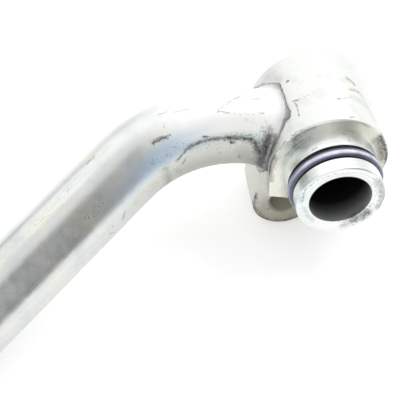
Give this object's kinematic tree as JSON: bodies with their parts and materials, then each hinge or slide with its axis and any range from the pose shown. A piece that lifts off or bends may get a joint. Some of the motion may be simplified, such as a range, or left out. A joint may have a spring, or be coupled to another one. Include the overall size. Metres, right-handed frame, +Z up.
{
  "type": "oil cooler line",
  "caption": "Bent aluminium oil line welded into a forged end block with an O-ring spigot and a bolt ear.",
  "frame": {"origin": "centre of the block's sealing face, on the axis of the spigot and its oil port", "axes": "-Y along the spigot towards its nose, -X towards the tube, +Z up with the line lying on a table"},
  "size_m": [0.1049, 0.0594, 0.0324],
  "materials": {
    "forged_aluminium": "forged and machined, satin",
    "drawn_aluminium": "drawn, worn satin with scuffs",
    "weld_metal": "as welded, dull with darkened edge",
    "seal_rubber": "moulded, smooth, very dark blue"
  },
  "bodies": {
    "root": {"fitting_block": "forged_aluminium", "line_tube": "drawn_aluminium", "weld_bead": "weld_metal", "o_ring": "seal_rubber"}
  },
  "joints": []
}
